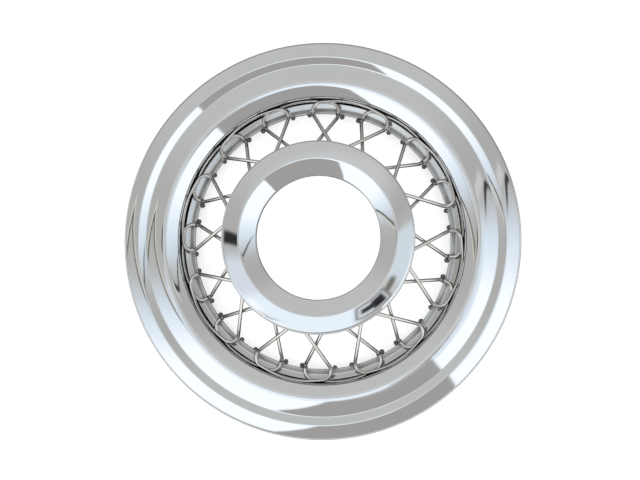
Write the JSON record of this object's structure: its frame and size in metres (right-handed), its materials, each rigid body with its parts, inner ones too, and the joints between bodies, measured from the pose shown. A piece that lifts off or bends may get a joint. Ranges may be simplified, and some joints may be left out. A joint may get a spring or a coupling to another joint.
{
  "type": "wire wheel cover",
  "caption": "Round wheel cover: a polished trim ring and a raised open hub ring joined by crossed wire spokes laced through eyelets.",
  "frame": {"origin": "centre of the circle that the retention ring's rear edge stands on, at the bottom of the part's box", "axes": "+Z along the wheel's axis, out of the visible face; +Y through a crossing of the spoke wires; +X to the right as seen from the front"},
  "size_m": [0.3999, 0.4, 0.0738],
  "materials": {
    "polished_sheet": "mirror-polished stainless sheet",
    "bed_sheet": "bright stainless sheet, less finely polished",
    "plain_steel": "plain turned steel",
    "spring_steel": "plain rolled spring steel",
    "spoke_wire": "bright drawn stainless wire"
  },
  "bodies": {
    "root": {"trim_ring": "polished_sheet", "spoke_bed": "bed_sheet", "hub_ring": "polished_sheet", "hub_backing_ring": "plain_steel", "retention_ring": "spring_steel", "front_spoke_wire_1": "spoke_wire", "front_spoke_wire_2": "spoke_wire", "front_spoke_wire_3": "spoke_wire", "front_spoke_wire_4": "spoke_wire", "front_spoke_wire_5": "spoke_wire", "front_spoke_wire_6": "spoke_wire", "front_spoke_wire_7": "spoke_wire", "front_spoke_wire_8": "spoke_wire", "rear_spoke_wire_1": "spoke_wire", "rear_spoke_wire_2": "spoke_wire", "rear_spoke_wire_3": "spoke_wire", "rear_spoke_wire_4": "spoke_wire", "rear_spoke_wire_5": "spoke_wire", "rear_spoke_wire_6": "spoke_wire", "rear_spoke_wire_7": "spoke_wire", "rear_spoke_wire_8": "spoke_wire"}
  },
  "joints": []
}
